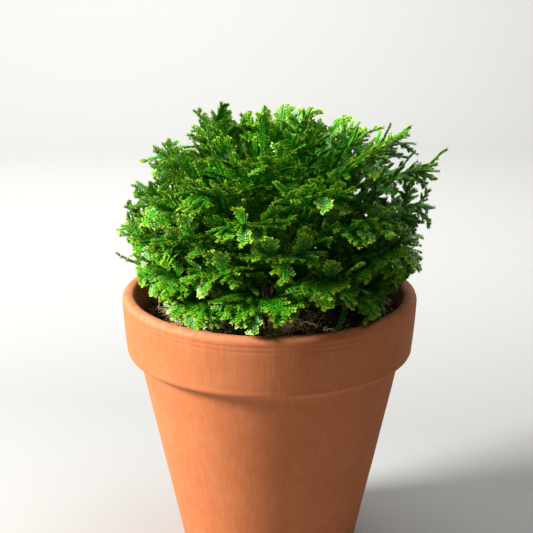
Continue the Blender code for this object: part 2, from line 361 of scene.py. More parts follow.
@dataclass(frozen=True)
class ClayFinish:
    """Unglazed terracotta: dusty and finely gritty, with upright brush strokes, moist inside, darker in its
    pits, with painted shade in the crease under the band.
    """

    patches: Patches = Patches((0.45, 0.116, 0.026), (0.49, 0.142, 0.038), 34.0, 0.35)
    dust: Colour = (0.66, 0.37, 0.23)
    # Colour of the moist inner wall and the darker pits, also used for painted shade in the crease under the
    # band.
    damp: Colour = (0.25, 0.14, 0.080)
    roughness: float = 0.74
    grit: Grit = Grit(1500.0, 0.9, 0.55, 0.00016)
    pit_darkening: float = 0.45
    stroke_scale: float = 620.0
    stroke_flatness: float = 0.05
    stroke_edges: Range = (0.40, 0.72)
    stroke_dust: float = 0.07
    stroke_height: float = 0.3
    cloud_scale: float = 210.0
    cloud_edges: Range = (0.32, 0.66)
    settling: Range = (0.15, 0.95)
    most_settled: float = 0.26

    def build(self, effects: Effects) -> bpy.types.Material:
        """Makes the material.

        Args:
            effects: the shared shader effects.

        Returns:
            The material.
        """
        material, sheet, shader = blank_material("terracotta_clay")
        place = sheet.add("ShaderNodeTexCoord").outputs["Object"]
        upright = sheet.add("ShaderNodeMapping", Vector=place, Scale=(1.0, 1.0, self.stroke_flatness))
        strokes = sheet.noise(upright.outputs[0], self.stroke_scale, Detail=3.0)
        stroke = sheet.stretch(strokes, *self.stroke_edges)
        dusting = sheet.maths("MULTIPLY", stroke, self.stroke_dust)
        brushed = sheet.mix(dusting, effects.drift(sheet, self.patches), rgba(self.dust))
        normal = sheet.add("ShaderNodeNewGeometry").outputs["Normal"]
        facing_up = sheet.add("ShaderNodeSeparateXYZ", Vector=normal).outputs["Z"]
        settled = sheet.stretch(facing_up, *self.settling, (0.0, self.most_settled))
        cloud = sheet.noise(place, self.cloud_scale, Detail=4.0, Roughness=0.62)
        bloom = sheet.maths("MULTIPLY", settled, sheet.stretch(cloud, *self.cloud_edges))
        dusted = sheet.mix(bloom, brushed, rgba(self.dust))
        grain = effects.grain_of(sheet, self.grit)
        # The clay is darker in its pits.
        pit_dark = sheet.maths("MULTIPLY", grain.outputs["Pit"], self.pit_darkening)
        pitted = sheet.mix(pit_dark, dusted, rgba(self.damp))
        # The point value darkens the moist inner wall and paints shade in the crease under the band.
        sheet.feed(shader, "Base Color", sheet.mix(sheet.attribute("damp"), pitted, rgba(self.damp)))
        sheet.feed(shader, "Roughness", self.roughness)
        raised = sheet.maths("MULTIPLY", stroke, self.stroke_height)
        self.grit.emboss(sheet, shader, sheet.maths("ADD", grain.outputs["Height"], raised))
        return material


@dataclass(frozen=True)
class MottledFinish:
    """A finish that only drifts between two colours, with a gritty relief where it has grit."""

    name: str
    patches: Patches
    roughness: float
    grit: Grit | None = None

    def build(self, effects: Effects) -> bpy.types.Material:
        """Makes the material.

        Args:
            effects: the shared shader effects.

        Returns:
            The material.
        """
        material, sheet, shader = blank_material(self.name)
        sheet.feed(shader, "Base Color", effects.drift(sheet, self.patches))
        sheet.feed(shader, "Roughness", self.roughness)
        if self.grit:
            self.grit.emboss(sheet, shader, effects.grain_of(sheet, self.grit).outputs["Height"])
        return material


@dataclass(frozen=True)
class PeatFinish(MottledFinish):
    """Moist peat: nearly black, with brown crumbs."""

    name: str = "moist_peat"
    patches: Patches = Patches((0.012, 0.008, 0.005), (0.085, 0.050, 0.028), 260.0, 0.6)
    roughness: float = 0.92
    grit: Grit | None = Grit(1300.0, 0.6, 0.8, 0.0004)


@dataclass(frozen=True)
class FibreFinish(MottledFinish):
    """Dry root fibre: straw to brown."""

    name: str = "dry_root_fibre"
    patches: Patches = Patches((0.88, 0.70, 0.43), (0.42, 0.25, 0.12), 170.0, 0.25)
    roughness: float = 0.7


@dataclass(frozen=True)
class StemFinish(MottledFinish):
    """Wiry stems: green to ruddy brown."""

    name: str = "wiry_stem"
    patches: Patches = Patches((0.10, 0.15, 0.025), (0.17, 0.085, 0.035), 90.0, 0.3)
    roughness: float = 0.5


@dataclass(frozen=True)
class LeafFinish:
    """Scale leaves: painted shade nearly black at each covered base, deep green inside from age and painted
    shade, fresh outside, yellow at tips, some with a painted bluish sheen.
    """

    # Painted shade at each leaf's covered base, and in the deep green of the inner leaves.
    base_shade: Colour = (0.0008, 0.010, 0.0005)
    deep_old_and_shaded: Colour = (0.0070, 0.150, 0.0026)
    fresh: Patches = Patches((0.024, 0.405, 0.0036), (0.098, 0.500, 0.0056), 95.0, 0.45)
    tip: Colour = (0.430, 0.655, 0.034)
    # A painted bluish sheen on some branchlets.
    bluish_sheen: Colour = (0.070, 0.260, 0.120)
    sheen_share: float = 0.7
    base_shade_fade: Range = (0.12, 0.80)
    base_shade_floor: float = 0.06
    specular: float = 0.45
    roughness: float = 0.33
    glow: float = 0.18

    def build(self, effects: Effects) -> bpy.types.Material:
        """Makes the material.

        Args:
            effects: the shared shader effects.

        Returns:
            The material.
        """
        material, sheet, shader = blank_material("scale_leaf")
        # Inner leaves are darker green: older leaves, and painted shade inside the plant.
        shaded = sheet.mix(sheet.attribute("vigour"), rgba(self.deep_old_and_shaded), effects.drift(sheet, self.fresh))
        # A painted bluish sheen on some branchlets.
        painted_sheen = sheet.maths("MULTIPLY", sheet.attribute("bloom"), self.sheen_share)
        sheened = sheet.mix(painted_sheen, shaded, rgba(self.bluish_sheen))
        young = sheet.mix(sheet.attribute("youth"), sheened, rgba(self.tip))
        # Painted shade: each leaf darkens towards its base, where the leaf before it covers it.
        base_shade_fade = sheet.stretch(sheet.attribute("rise"), *self.base_shade_fade, (self.base_shade_floor, 1.0))
        colour = sheet.mix(base_shade_fade, rgba(self.base_shade), young)
        sheet.feed(shader, "Base Color", colour)
        sheet.feed(shader, "Roughness", self.roughness)
        sheet.feed(shader, "Specular IOR Level", self.specular)
        through = sheet.add("ShaderNodeBsdfTranslucent", Color=colour)
        both = sheet.add("ShaderNodeMixShader", Fac=self.glow)
        sheet.feed(both, 1, shader.outputs["BSDF"])
        sheet.feed(both, 2, through.outputs["BSDF"])
        sheet.feed(material.node_tree.nodes["Material Output"], "Surface", both.outputs["Shader"])
        return material


class Finishes:
    """Every finish of the object, built once."""

    def __init__(self) -> None:
        """Builds the materials."""
        effects = Effects()
        self.clay = ClayFinish().build(effects)
        self.peat = PeatFinish().build(effects)
        self.fibre = FibreFinish().build(effects)
        self.leaf = LeafFinish().build(effects)
        self.stem = StemFinish().build(effects)


# Mesh helpers


@dataclass
class MeshStock:
    """Triangles gathered in parts and made into one mesh, with values at their points."""

    points: list[Array] = field(default_factory=list)
    faces: list[Array] = field(default_factory=list)
    slots: list[Array] = field(default_factory=list)
    values: dict[str, list[Array]] = field(default_factory=dict)
    count: int = 0

    def add(self, points: Array, faces: Array, slot: int = 0, **values: Array) -> None:
        """Adds a part.

        Args:
            points: its points, (n, 3).
            faces: its triangles, (m, 3), counted from its own first point.
            slot: its material slot.
            **values: one value per point for each name.
        """
        self.points.append(points)
        self.faces.append(faces + self.count)
        self.slots.append(np.full(len(faces), slot, np.int32))
        for name in set(self.values) | set(values):
            held = self.values.setdefault(name, [np.zeros(self.count)] if self.count else [])
            held.append(np.broadcast_to(values.get(name, 0.0), (len(points),)))
        self.count += len(points)

    def make(self, name: str, materials: list[bpy.types.Material]) -> bpy.types.Object:
        """Makes the object, shaded smooth.

        Args:
            name: the piece's name.
            materials: one for each slot.

        Returns:
            The object, linked to the scene.
        """
        points = np.concatenate(self.points).astype(np.float32)
        faces = np.concatenate(self.faces).astype(np.int32)
        mesh = bpy.data.meshes.new(name)
        mesh.vertices.add(len(points))
        mesh.vertices.foreach_set("co", points.ravel())
        mesh.loops.add(faces.size)
        mesh.loops.foreach_set("vertex_index", faces.ravel())
        mesh.polygons.add(len(faces))
        mesh.polygons.foreach_set("loop_start", np.arange(0, faces.size, 3, dtype=np.int32))
        mesh.polygons.foreach_set("material_index", np.concatenate(self.slots))
        mesh.polygons.foreach_set("use_smooth", np.ones(len(faces), bool))
        for value_name, held in self.values.items():
            layer = mesh.attributes.new(value_name, "FLOAT", "POINT")
            layer.data.foreach_set("value", np.concatenate(held).astype(np.float32))
        for material in materials:
            mesh.materials.append(material)
        mesh.update(calc_edges=True)
        mesh.validate()
        piece = bpy.data.objects.new(name, mesh)
        bpy.context.scene.collection.objects.link(piece)
        return piece


def unit(vectors: Array) -> Array:
    """Vectors scaled to length one."""
    return vectors / np.maximum(np.linalg.norm(vectors, axis=-1, keepdims=True), TINY)


def tube(path: Array, radii: Array, sides: int) -> tuple[Array, Array]:
    """A closed tube along a path.

    Args:
        path: its centre line, (n, 3).
        radii: its radius at each point, (n,).
        sides: how many sides it has.

    Returns:
        Its points and its triangles.
    """
    ahead = unit(np.gradient(path, axis=0))
    no_path_follows = np.array([0.31, 0.17, 0.93])
    first = unit(np.cross(ahead, no_path_follows))
    second = np.cross(ahead, first)
    turns = np.arange(sides) * math.tau / sides
    ring = np.cos(turns)[:, None] * first[:, None, :] + np.sin(turns)[:, None] * second[:, None, :]
    points = (path[:, None, :] + radii[:, None, None] * ring).reshape(-1, 3)
    low = np.arange((len(path) - 1) * sides).reshape(-1, sides)
    right = np.roll(low, -1, axis=1)
    walls = np.stack([low, right, right + sides, low, right + sides, low + sides], axis=-1).reshape(-1, 3)
    start = len(points)
    points = np.concatenate([points, path[:1], path[-1:]])
    ring_now = np.arange(sides)
    ring_next = np.roll(ring_now, -1)
    near = np.stack([np.full(sides, start), ring_next, ring_now], axis=-1)
    last = start - sides
    far = np.stack([np.full(sides, start + 1), ring_now + last, ring_next + last], axis=-1)
    return points, np.concatenate([walls, near, far])


def spun(radii: Array, steps: int) -> tuple[Array, Array]:
    """X and Y of points at some radii, turned about the Z axis in steps, (steps, n) each."""
    turns = np.arange(steps) * math.tau / steps
    return np.cos(turns)[:, None] * radii, np.sin(turns)[:, None] * radii


def turned(profile: Array, steps: int) -> tuple[Array, Array]:
    """A closed profile of (radius, height) turned about the Z axis.

    Args:
        profile: the profile's points in order, (n, 2).
        steps: how many steps one turn takes.

    Returns:
        Its points and its triangles.
    """
    x, y = spun(profile[:, 0], steps)
    points = np.stack([x, y, np.broadcast_to(profile[:, 1], x.shape)], axis=-1).reshape(-1, 3)
    here = np.arange(len(points)).reshape(steps, -1)
    along = np.roll(here, -1, axis=1)
    beside = np.roll(here, -1, axis=0)
    across = np.roll(along, -1, axis=0)
    faces = np.stack([here, along, across, here, across, beside], axis=-1).reshape(-1, 3)
    return points, faces


def twenty_sided_ball() -> tuple[Array, Array]:
    """A rough ball of radius one.

    Returns:
        Its twelve points and its twenty triangles, facing out.
    """
    golden = (1 + math.sqrt(5)) / 2
    corners = []
    for a, b in product((-1, 1), (-golden, golden)):
        corners += [(0, a, b), (a, b, 0), (b, 0, a)]
    ball = unit(np.array(corners, float))
    spans = np.linalg.norm(ball[:, None] - ball[None], axis=-1)
    edge, slack = spans[0, 1:].min(), 1.05
    near = spans < edge * slack
    faces = []
    for a, b, c in combinations(range(len(ball)), 3):
        if near[a, b] and near[b, c] and near[a, c]:
            out = np.dot(np.cross(ball[b] - ball[a], ball[c] - ball[a]), ball[a]) > 0
            faces.append((a, b, c) if out else (a, c, b))
    return ball, np.array(faces)


def random_turn(draw: np.random.Generator) -> Array:
    """A random turn.

    Args:
        draw: the seeded source of chance.

    Returns:
        Its matrix.
    """
    first = unit(draw.normal(size=3))
    second = unit(np.cross(first, draw.normal(size=3)))
    return np.stack([first, second, np.cross(first, second)], axis=-1)


@dataclass(frozen=True)
class Waves:
    """A smooth uneven field, added up from sine waves of drawn directions, lengths and phases.

    Its pitch is the length of a middling wave, and its height is how far it mostly goes up and down.
    """

    seed: int
    pitch: float
    height: float = 1.0
    count: int = 7
    fineness: Range = (0.6, 1.7)
    phases: Range = (0, 6.28)
    levelling: float = 3.2

    def at(self, x: Array, y: Array, z: Array) -> Array:
        """The field at some points.

        Args:
            x: their first coordinates.
            y: their second coordinates.
            z: their third coordinates.

        Returns:
            One value per point.
        """
        draw = np.random.default_rng(self.seed)
        total = np.zeros(np.broadcast(x, y, z).shape)
        for _ in range(self.count):
            way = unit(draw.normal(size=3)) * math.tau / self.pitch * draw.uniform(*self.fineness)
            total += np.sin(way[0] * x + way[1] * y + way[2] * z + draw.uniform(*self.phases))
        return self.height * (total / self.levelling)


def seat(piece: bpy.types.Object, slot: Slot, *nodes: str) -> None:
    """Puts a finished piece on the object's one body.

    Args:
        piece: the piece.
        slot: the record's material slot for the piece; not used.
        *nodes: the CAD nodes that it stands for.
    """
    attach(piece, ROOT_BODY)
    if nodes:
        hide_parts(*nodes)
    LOG.info("%s: %d faces", piece.name, len(piece.data.polygons))


# Pot


@dataclass
class TerracottaPot:
    """The turned pot, with the sizes of its CAD node and the marks of its making.

    The turns of its arcs are in degrees. Each throwing ring has a depth under the rim, a width and a cut.
    """

    height: float = 0.138
    rim_radius: float = 0.0725
    lip_inner_radius: float = 0.0656
    band_bottom_radius: float = 0.0706
    band_height: float = 0.031
    neck_radius: float = 0.0650
    base_radius: float = 0.0425
    wall: float = 0.0058
    floor: float = 0.0075
    drain_radius: float = 0.0062
    edge_round: float = 0.0030
    lip_depth: float = 0.0090
    neck_fillet: float = 0.0006
    foot_round: float = 0.0015
    foot_flare: float = 0.0016
    drain_break: float = 0.0006
    inner_corner: float = 0.0040
    body_pitch: float = 0.0012
    band_pitch: float = 0.0004
    steps: int = 192
    # The turns of the arcs and the points of the neck's fillet.
    lip_turn: Range = (88, 0)
    band_foot_turn: Range = (-5, -80)
    foot_turn: Range = (-10, -90)
    inner_lip_turn: Range = (182, 92)
    neck_curve: tuple = ((2.4, 0.25), (1.0, -0.4), (0.0, -2.0), (-1.0, -5.0))
    # The marks of its making.
    throwing_rings: tuple = ((0.0042, 0.0005, 0.00015), (0.0066, 0.0006, 0.00012), (0.0262, 0.0012, 0.00010))
    ring_wander: float = 0.0003
    ring_wander_pitch: float = 0.06
    ring_seeds_per_metre: float = 1e5
    dents: tuple = (Waves(5, 0.035, 0.00007), Waves(6, 0.009, 0.00003))
    inner_dents: float = 0.5
    outer_share: float = 0.7
    lip_waves: Waves = Waves(8, 0.03)
    lip_wave_height: float = 0.00003
    lip_wave_depth: float = 0.002
    # Its moist inside and the painted shade in the crease under the band.
    inner_share: float = 0.35
    damp_below: float = 0.0035
    damp_fade: float = 0.006
    dampness: float = 0.75
    damp_and_shade_level: float = 0.82
    damp_and_shade_patches: Waves = Waves(12, 0.02, 0.18)
    # Painted shade in the crease under the band.
    crease_painted_shade: float = 0.55
    crease_shade_width: float = 0.0011
    crease_shade_reach: float = 0.0030

    def inner_radius(self, height: float | Array) -> float | Array:
        """Radius of the inner wall.

        Args:
            height: one height or several.

        Returns:
            The radius at each.
        """
        share = (height - self.floor) / (self.height - self.band_height - self.floor)
        low = self.base_radius + self.foot_flare - self.wall
        return low + share * (self.neck_radius - self.wall - low)

    def arc(self, centre: tuple[float, float], radius: float, turn: Range, steps: int = 8) -> list:
        """Points of an arc in the profile.

        Args:
            centre: its centre, (radius, height).
            radius: its own radius.
            turn: its first and last angle in degrees.
            steps: how many steps it takes.

        Returns:
            Its points, (radius, height) each.
        """
        angles = np.radians(np.linspace(*turn, steps + 1))
        return [(centre[0] + radius * math.cos(a), centre[1] + radius * math.sin(a)) for a in angles]

    def profile(self) -> Array:
        """The closed profile: down outside, in under the foot, up the drain hole and back up inside.

        Returns:
            Its corners, (radius, height) each.
        """
        top, fillet, drain = self.height, self.neck_fillet, self.drain_radius
        band_foot = top - self.band_height
        lip_centre = (self.rim_radius - self.edge_round, top - self.edge_round)
        foot_centre = (self.band_bottom_radius - self.edge_round, band_foot + self.edge_round + fillet)
        base_centre = (self.base_radius - self.foot_round, self.foot_round)
        inner_round = (self.lip_inner_radius + self.edge_round, top - self.edge_round)
        points = self.arc(lip_centre, self.edge_round, self.lip_turn)
        points += [(self.rim_radius - fillet / 2, top - self.lip_depth)]
        points += self.arc(foot_centre, self.edge_round, self.band_foot_turn)
        points += [(self.neck_radius + out * fillet, band_foot + up * fillet) for out, up in self.neck_curve]
        points += self.arc(base_centre, self.foot_round, self.foot_turn, steps=4)
        points += [(drain + self.drain_break, 0.0), (drain, 2 * self.drain_break), (drain, self.floor)]
        points += [(self.inner_radius(self.floor) - self.inner_corner, self.floor)]
        for height in (self.floor + self.inner_corner, top - self.lip_depth):
            points += [(self.inner_radius(height), height)]
        points += self.arc(inner_round, self.edge_round, self.inner_lip_turn)
        return np.array(points)

    def close_profile(self) -> Array:
        """The profile with points close enough to press marks into it, closest on the band under the lip.

        Returns:
            Its points, (radius, height) each.
        """
        corners = self.profile()
        points = []
        for low, high in zip(corners, np.roll(corners, -1, axis=0)):
            on_band = min(low[0], high[0]) > self.neck_radius and high[1] > self.height - self.band_height
            pitch = self.band_pitch if on_band else self.body_pitch
            steps = max(1, math.ceil(np.linalg.norm(high - low) / pitch))
            points += [low + (high - low) * step / steps for step in range(steps)]
        return np.array(points)

    def mark(self, points: Array) -> Array:
        """Presses the marks of making into the pot: throwing rings, small dents and an uneven lip.

        Args:
            points: the turned points, (n, 3).

        Returns:
            The points with the marks.
        """
        x, y, z = points.T
        radius = np.hypot(x, y)
        below = self.height - z
        outside = radius > self.inner_radius(z) + self.outer_share * self.wall
        rings = np.zeros(len(points))
        for depth, width, cut in self.throwing_rings:
            seed = int(depth * self.ring_seeds_per_metre)
            wander = Waves(seed, self.ring_wander_pitch, self.ring_wander).at(x, y, 0 * z)
            rings += cut * np.exp(-(((below - depth - wander) / width) ** 2))
        uneven = sum(dents.at(x, y, z) for dents in self.dents)
        moved = radius + np.where(outside, uneven - rings, self.inner_dents * uneven)
        share = np.where(radius > 0, moved / np.maximum(radius, TINY), 1.0)
        top = np.clip(1 - below / self.lip_wave_depth, 0, 1)
        lifted = z + top * self.lip_wave_height * self.lip_waves.at(x, y, z)
        return np.stack([x * share, y * share, np.maximum(lifted, 0.0)], axis=-1)

    def damp(self, points: Array) -> Array:
        """How moist the clay is on the inner wall towards the soil, and how much shade is painted in the
        crease under the band.

        Args:
            points: points of the pot, (n, 3).

        Returns:
            One value from 0 to 1 for each.
        """
        x, y, z = points.T
        radius, below = np.hypot(x, y), self.height - z
        inside = radius < self.inner_radius(z) + self.inner_share * self.wall
        depth = np.clip((below - self.damp_below) / self.damp_fade, 0, 1)
        patch = self.damp_and_shade_level + self.damp_and_shade_patches.at(x, y, z)
        # Painted shade in the crease under the band, in patches.
        crease = self.crease_painted_shade * np.exp(-(((below - self.band_height) / self.crease_shade_width) ** 2)) * patch
        crease_shade = np.where(radius < self.neck_radius + self.crease_shade_reach, crease, 0.0)
        return np.where(inside, np.clip(self.dampness * depth * patch, 0, 1), crease_shade)

    def build(self, finishes: Finishes) -> None:
        """Makes the pot and puts it in place.

        Args:
            finishes: the object's finishes.
        """
        points, faces = turned(self.close_profile(), self.steps)
        points = self.mark(points)
        stock = MeshStock()
        stock.add(points, faces[:, ::-1], damp=self.damp(points))
        seat(stock.make("fine_pot", [finishes.clay]), Slot.CLAY, "pot")


# Soil


@dataclass
class PottingSoil:
    """The peat in the pot, with its crumbs and the dry root fibres that lie on it.

    A clump of fibres has the azimuth and the radius of its middle, its spread, and its share of the fibres.
    """

    pot: TerracottaPot
    depth_at_wall: float = 0.0145
    mound: float = 0.0060
    relief: float = 0.0007
    gap: float = 0.0003
    relief_fade: int = 6
    clod_waves: tuple = (310.0, 270.0, 520.0, 410.0)
    clod_shift: float = 1.0
    second_clods: float = 0.6
    small_relief: tuple = (Waves(31, 0.006, 0.00045), Waves(32, 0.0021, 0.00022))
    steps: int = 220
    rings: int = 84
    ring_power: float = 0.9
    # Its crumbs.
    crumbs: int = 2100
    crumb_seed: int = 41
    crumb_places: Range = (0.02, 0.985)
    crumb_least: float = 0.00035
    crumb_growth: float = 0.0011
    crumb_squash: Range = (0.55, 1.25)
    crumb_lumps: Range = (0.7, 1.2)
    crumb_rise: float = 0.25
    # The dry root fibres.
    strands: int = 340
    strand_seed: int = 52
    strand_length: Range = (0.008, 0.024)
    strand_thickness: Range = (0.00016, 0.00040)
    strand_taper: float = 0.45
    strand_sides: int = 4
    strand_steps: int = 14
    strand_bend: float = 0.22
    strand_curl: float = 0.28
    strand_lift: float = 0.0026
    strand_clearance: float = 0.0002
    strand_ripple: float = 0.0004
    ripple_turn: float = 9
    clump_turn: float = 57
    clump_depth: float = 0.5
    clump_margin: float = 0.002
    wall_margin: float = 0.0006
    clumps: tuple = (
        (172.0, 0.049, 0.008, 0.22),
        (200.0, 0.041, 0.010, 0.24),
        (-90.0, 0.034, 0.014, 0.28),
        (0.0, 0.045, 0.050, 0.26),
    )

    def height(self, x: float | Array, y: float | Array) -> float | Array:
        """Height of the soil's top, the same rule as the CAD soil's.

        Args:
            x: the first coordinate of one point or of several.
            y: the second.

        Returns:
            The height at each.
        """
        wall = self.pot.inner_radius(self.pot.height - self.depth_at_wall)
        distance = np.minimum(1.0, np.hypot(x, y) / wall)
        a, b, c, d = self.clod_waves
        clods = np.sin(a * x + self.clod_shift) * np.cos(b * y) + self.second_clods * np.sin(c * y - d * x)
        relief = self.relief * clods * (1 - distance**self.relief_fade)
        return self.pot.height - self.depth_at_wall + self.mound * (1 - distance**2) + relief

    def fine_height(self, x: float | Array, y: float | Array) -> float | Array:
        """Height of the soil's top with small crumbs raised in it."""
        return self.height(x, y) + sum(waves.at(x, y, 0 * x) for waves in self.small_relief)

    def edge(self) -> float:
        """Radius of the soil at the pot's wall."""
        return self.pot.inner_radius(self.pot.height - self.depth_at_wall) - self.gap

    def body(self) -> tuple[Array, Array]:
        """The soil's body: a fine top on plain sides.

        Returns:
            Its points and its triangles.
        """
        low, corner = self.pot.floor + self.gap, self.pot.inner_corner + self.gap
        rings = np.linspace(0.0, 1.0, self.rings)[1:] ** self.ring_power * self.edge()
        side = self.pot.inner_radius(low + corner) - self.gap
        foot = self.pot.inner_radius(low) - self.gap - corner
        x, y = spun(np.array([*rings, side, foot]), self.steps)
        z = self.fine_height(x, y)
        z[:, -2:] = low + corner, low
        points = np.stack([x, y, z], axis=-1).reshape(-1, 3)
        rows = np.arange(len(points)).reshape(self.steps, -1)
        here, first, last = rows[:, :-1], rows[:, 0], rows[:, -1]
        beside = np.roll(here, -1, axis=0)
        faces = np.stack([here, here + 1, beside + 1, here, beside + 1, beside], axis=-1).reshape(-1, 3)
        centres = np.array([[0.0, 0.0, self.fine_height(0.0, 0.0)], [0.0, 0.0, low]])
        top_fan = np.stack([np.full(self.steps, len(points)), first, np.roll(first, -1)], axis=-1)
        low_fan = np.stack([np.full(self.steps, len(points) + 1), np.roll(last, -1), last], axis=-1)
        return np.concatenate([points, centres]), np.concatenate([faces, top_fan, low_fan])

    def add_crumbs(self, stock: MeshStock) -> None:
        """Adds crumbs of peat, most of them small, half sunk in the soil.

        Args:
            stock: where they go.
        """
        draw = np.random.default_rng(self.crumb_seed)
        ball, faces = twenty_sided_ball()
        for _ in range(self.crumbs):
            radius = self.edge() * math.sqrt(draw.uniform(*self.crumb_places))
            turn = draw.uniform(0, math.tau)
            size = self.crumb_least + self.crumb_growth * draw.uniform() ** 3
            x, y = radius * math.cos(turn), radius * math.sin(turn)
            if math.hypot(x, y) + size > self.edge():
                continue
            squash = draw.uniform(*self.crumb_squash, size=3)
            shape = ball * squash * size * draw.uniform(*self.crumb_lumps, size=(len(ball), 1))
            spin = random_turn(draw)
            z = self.fine_height(x, y) + self.crumb_rise * size
            stock.add(shape @ spin.T + np.array([x, y, z]), faces)

    def strand(self, draw: np.random.Generator, azimuth: float, out: float, spread: float) -> Array:
        """Centre line of one curly root fibre that lies on the soil.

        Args:
            draw: the seeded source of chance.
            azimuth: the direction of its clump from the middle, in degrees.
            out: how far out its clump is.
            spread: how far its clump spreads.

        Returns:
            Its points, (n, 3).
        """
        turn = math.radians(azimuth + draw.normal() * spread / out * self.clump_turn)
        radius = min(self.edge() - self.clump_margin, out + draw.normal() * spread * self.clump_depth)
        spot = np.array([radius * math.cos(turn), radius * math.sin(turn)])
        heading = draw.uniform(0, math.tau)
        bend = draw.normal() * self.strand_bend
        lift = abs(draw.normal()) * self.strand_lift
        stride = draw.uniform(*self.strand_length) / self.strand_steps
        points = []
        for step in range(self.strand_steps + 1):
            share = step / self.strand_steps
            ground = self.fine_height(*spot) + self.strand_clearance
            ripple = self.strand_ripple * math.sin(self.ripple_turn * share)
            points.append((*spot, ground + lift * math.sin(math.pi * share) + ripple))
            heading += bend + draw.normal() * self.strand_curl
            ahead = spot + stride * np.array([math.cos(heading), math.sin(heading)])
            spot = ahead * min(1.0, (self.edge() - self.wall_margin) / np.linalg.norm(ahead))
        return np.array(points)

    def build(self, finishes: Finishes) -> None:
        """Makes the soil, its crumbs and its fibres.

        Args:
            finishes: the object's finishes.
        """
        body = MeshStock()
        body.add(*self.body())
        self.add_crumbs(body)
        seat(body.make("peat_with_crumbs", [finishes.peat]), Slot.SOIL, "soil")
        litter = MeshStock()
        draw = np.random.default_rng(self.strand_seed)
        for azimuth, out, spread, share in self.clumps:
            for _ in range(int(self.strands * share)):
                path = self.strand(draw, azimuth, out, spread)
                thickness = draw.uniform(*self.strand_thickness)
                taper = np.linspace(1.0, self.strand_taper, len(path))
                litter.add(*tube(path, thickness * taper, self.strand_sides))
        seat(litter.make("dry_root_fibres", [finishes.fibre]), Slot.SOIL)


# Plant


@dataclass
class Layers:
    """The layer rule of the plant: fronds lean outwards in layers that lie one inside the other.

    Each bulge of the dome has its azimuth, its tip angle, its gain, and its spread in both angles.
    """

    soil: PottingSoil
    fronds: int = 50
    golden_angle: float = math.radians(137.508)
    first_azimuth: float = math.radians(250.0)
    lowest: float = math.radians(82.0)
    roomy: float = math.radians(34.0)
    crown_depth: float = 0.005
    root_inner: float = 0.003
    root_outer: float = 0.031
    stem_lean: float = 0.55
    stem_buried: float = 0.0070
    most_tilt: float = 3.2
    least_cup: float = 0.4
    most_cup: float = 2.4
    stem_stiffness: float = 0.42
    tip_stiffness: float = 0.36
    steps: int = 40
    seed: int = 11
    reach_table: tuple = (
        (0, 0.095), (20, 0.097), (40, 0.098), (52, 0.092), (62, 0.083), (72, 0.077), (82, 0.069)
    )
    droop_table: tuple = ((0, 4), (20, 14), (45, 28), (70, 38), (82, 44))
    bulges: tuple = (
        (-28.0, 46.0, 0.017, 48.0, 11.0),
        (152.0, 74.0, 0.006, 45.0, 13.0),
        (-172.0, 48.0, -0.008, 55.0, 15.0),
        (-140.0, 68.0, -0.010, 40.0, 22.0),
    )

    @property
    def crown_height(self) -> float:
        """Height of the point that the fronds fan out from."""
        return self.soil.pot.height - self.crown_depth

    def reach(self, tip_angle: Array, azimuth: Array) -> Array:
        """Distance of a tip from the crown, with the dome's bulges.

        Args:
            tip_angle: how far each frond leans, from straight up, (n,).
            azimuth: the direction each leans in, (n,).

        Returns:
            The distances, (n,).
        """
        degrees = np.degrees(tip_angle)
        distance = np.interp(degrees, *np.array(self.reach_table).T)
        for bulge_azimuth, bulge_angle, gain, azimuth_spread, angle_spread in self.bulges:
            aside = (np.degrees(azimuth) - bulge_azimuth + 180) % 360 - 180
            off = (degrees - bulge_angle) / angle_spread
            distance = distance + gain * np.exp(-((aside / azimuth_spread) ** 2) - off**2)
        return distance

    def ribs(self, tip_angle: Array, azimuth: Array) -> tuple[Array, Array]:
        """Ribs from the soil to the tip.

        Args:
            tip_angle: how far each frond leans, from straight up, (n,).
            azimuth: the direction each leans in, (n,).

        Returns:
            (radius, height) points, (n, steps + 1, 2), and the stem's direction at the soil, (n, 2).
        """
        root = self.root_inner + (self.root_outer - self.root_inner) * tip_angle / self.lowest
        ground = self.soil.height(root * np.cos(azimuth), root * np.sin(azimuth))
        start = np.stack([root, ground], axis=-1)
        reach = self.reach(tip_angle, azimuth)
        tip = np.stack([reach * np.sin(tip_angle), self.crown_height + reach * np.cos(tip_angle)], axis=-1)
        lean = self.stem_lean * tip_angle
        rise = np.stack([np.sin(lean), np.cos(lean)], axis=-1)
        droop = tip_angle + np.radians(np.interp(np.degrees(tip_angle), *np.array(self.droop_table).T))
        fall = np.stack([np.sin(droop), np.cos(droop)], axis=-1)
        chord = np.linalg.norm(tip - start, axis=-1)[:, None]
        first = start + self.stem_stiffness * chord * rise
        second = tip - self.tip_stiffness * chord * fall
        t = np.linspace(0, 1, self.steps + 1)[None, :, None]
        s = 1 - t
        shares = (s**3, 3 * s * s * t, 3 * s * t * t, t**3)
        points = sum(share * point[:, None] for share, point in zip(shares, (start, first, second, tip)))
        return points, rise

    @staticmethod
    def along(points: Array, rise: Array, distance: Array) -> Array:
        """Places along ribs, or down their straight stems.

        Args:
            points: the ribs, (n, steps + 1, 2).
            rise: each stem's direction at the soil, (n, 2).
            distance: how far along each, negative for down its stem, (n,).

        Returns:
            A (radius, height) for each.
        """
        steps = np.linalg.norm(np.diff(points, axis=1), axis=-1)
        marks = np.concatenate([np.zeros((len(points), 1)), np.cumsum(steps, axis=1)], axis=1)
        index = np.clip((marks[:, 1:] < distance[:, None]).sum(axis=1), 0, steps.shape[1] - 1)
        row = np.arange(len(points))
        share = (distance - marks[row, index]) / steps[row, index]
        low, high = points[row, index], points[row, index + 1]
        bent = low + share[:, None] * (high - low)
        straight = points[:, 0] + distance[:, None] * rise
        return np.where(distance[:, None] <= 0, straight, bent)


@dataclass
class Axes:
    """Nodes along branchlet axes, ready to take leaves: where each is, how it faces, how old it is, and the
    shade and sheen painted on its leaves.
    """

    place: Array
    ahead: Array
    side: Array
    up: Array
    to_tip: Array
    scale: Array
    vigour: Array
    bloom: Array


